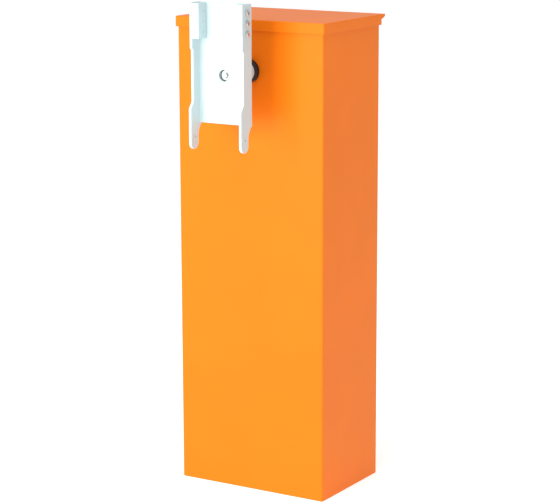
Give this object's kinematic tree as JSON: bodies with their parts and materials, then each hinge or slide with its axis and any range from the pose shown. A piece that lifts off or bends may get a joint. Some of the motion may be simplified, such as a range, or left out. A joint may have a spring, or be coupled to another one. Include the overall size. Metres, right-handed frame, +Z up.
{
  "type": "parking barrier gate",
  "caption": "Upright sheet-metal barrier cabinet with a worm drive, balance springs, a rear service door and an open channel bracket for the boom.",
  "frame": {"origin": "on the ground at the centre of the anchor bolt pattern, under the middle of the cabinet", "axes": "+Z up, -Y out of the boom side, +Y out of the service door, +X to the right seen from the boom side"},
  "size_m": [0.358, 0.382, 1.041],
  "materials": {
    "orange_powder": "semi-gloss powder coat",
    "white_powder": "satin powder coat",
    "zinc_steel": "bright zinc plated",
    "ground_steel": "ground",
    "blue_enamel": "enamel",
    "grey_enamel": "enamel",
    "cast_metal": "painted casting",
    "motor_alloy": "ribbed casting",
    "bronze": "machined",
    "black_rubber": "matt",
    "black_plastic": "moulded",
    "grey_plastic": "moulded",
    "red_plastic": "moulded",
    "board_green": "lacquered"
  },
  "bodies": {
    "cabinet": {"cabinet_shell": "orange_powder", "lid": "orange_powder", "stud_nuts": "zinc_steel", "bearing_bolts": "zinc_steel", "gearbox_bolts": "zinc_steel", "hinge_frame_leaves": "zinc_steel", "hinge_pins": "ground_steel", "spring_eyebolts": "zinc_steel", "stop_posts": "zinc_steel", "din_rail": "zinc_steel", "electrics_plate": "zinc_steel", "base_plate": "grey_enamel", "chassis": "grey_enamel", "rear_bearing_plate": "grey_enamel", "gearbox_plate": "grey_enamel", "front_bearing_housing": "cast_metal", "rear_bearing_housing": "cast_metal", "bearing_outer_rings": "ground_steel", "bearing_balls": "ground_steel", "gearbox_housing": "motor_alloy", "gearbox_cover": "motor_alloy", "motor_body": "motor_alloy", "motor_end_cap": "motor_alloy", "door_seal": "black_rubber", "stop_buffers": "black_rubber", "shaft_collar": "black_rubber", "limit_switches": "black_plastic", "cable_glands": "black_plastic", "control_box": "grey_plastic", "control_cover": "grey_plastic", "terminal_strip": "grey_plastic", "breaker": "grey_plastic", "run_capacitor": "grey_plastic", "transformer": "cast_metal", "circuit_board": "board_green"},
    "boom": {"main_shaft": "ground_steel", "bearing_inner_rings": "ground_steel", "hub_tube": "white_powder", "bracket_web": "white_powder", "bracket_flanges": "white_powder", "clamp_jaws": "white_powder", "clamp_screws": "zinc_steel", "centre_bolt": "zinc_steel", "drive_lever": "blue_enamel", "spring_lever": "blue_enamel", "lever_pins": "ground_steel", "limit_cams": "bronze"},
    "rod": {"connecting_rod": "zinc_steel", "rod_ends": "zinc_steel"},
    "crank": {"crank_arm": "blue_enamel", "crank_pin": "ground_steel", "worm_wheel": "bronze"},
    "rotor": {"worm_shaft": "ground_steel", "hand_wheel": "red_plastic"},
    "yoke": {"spring_yoke": "blue_enamel", "balance_springs": "ground_steel"},
    "door": {"door": "orange_powder", "door_lock_body": "zinc_steel"},
    "lock": {"lock_cam": "ground_steel"},
    "toggle": {"breaker_toggle": "black_plastic"}
  },
  "joints": [
    {"name": "boom_turn", "type": "hinge", "parent": "cabinet", "child": "boom", "pos_m": [0, -0.2, 0.895], "axis": [0, 1, 0], "range_deg": [0, 90]},
    {"name": "rod_swing", "type": "hinge", "parent": "boom", "child": "rod", "pos_m": [0.0495, -0.0585, 0.9445], "axis": [0, 1, 0], "range_deg": [-90, 0]},
    {"name": "crank_turn", "type": "hinge", "parent": "cabinet", "child": "crank", "pos_m": [0, 0, 0.56], "axis": [0, 1, 0], "range_deg": [0, 90]},
    {"name": "rotor_spin", "type": "hinge", "parent": "cabinet", "child": "rotor", "pos_m": [0.046, 0.0075, 0.5], "axis": [0, 0, 1], "range_deg": [0, 2700]},
    {"name": "yoke_lift", "type": "slide", "parent": "cabinet", "child": "yoke", "axis": [0, 0, 1], "range_m": [0, 0.1132], "deforming": ["balance_springs"]},
    {"name": "door_swing", "type": "hinge", "parent": "cabinet", "child": "door", "pos_m": [-0.15425, 0.122, 0.5], "axis": [0, 0, 1], "range_deg": [0, 110]},
    {"name": "lock_turn", "type": "hinge", "parent": "door", "child": "lock", "pos_m": [0.1295, 0.11, 0.52], "axis": [0, 1, 0], "range_deg": [0, 90]},
    {"name": "toggle_flip", "type": "hinge", "parent": "cabinet", "child": "toggle", "pos_m": [-0.094, 0.046, 0.09], "axis": [1, 0, 0], "range_deg": [-110, 0]}
  ],
  "couplings": [
    {"joint": "rod_swing", "follows": "boom_turn", "ratio": -1},
    {"joint": "crank_turn", "follows": "boom_turn", "ratio": 1},
    {"joint": "rotor_spin", "follows": "boom_turn", "ratio": 30},
    {"joint": "yoke_lift", "follows": "boom_turn", "m_per_rad": 0.072025}
  ]
}
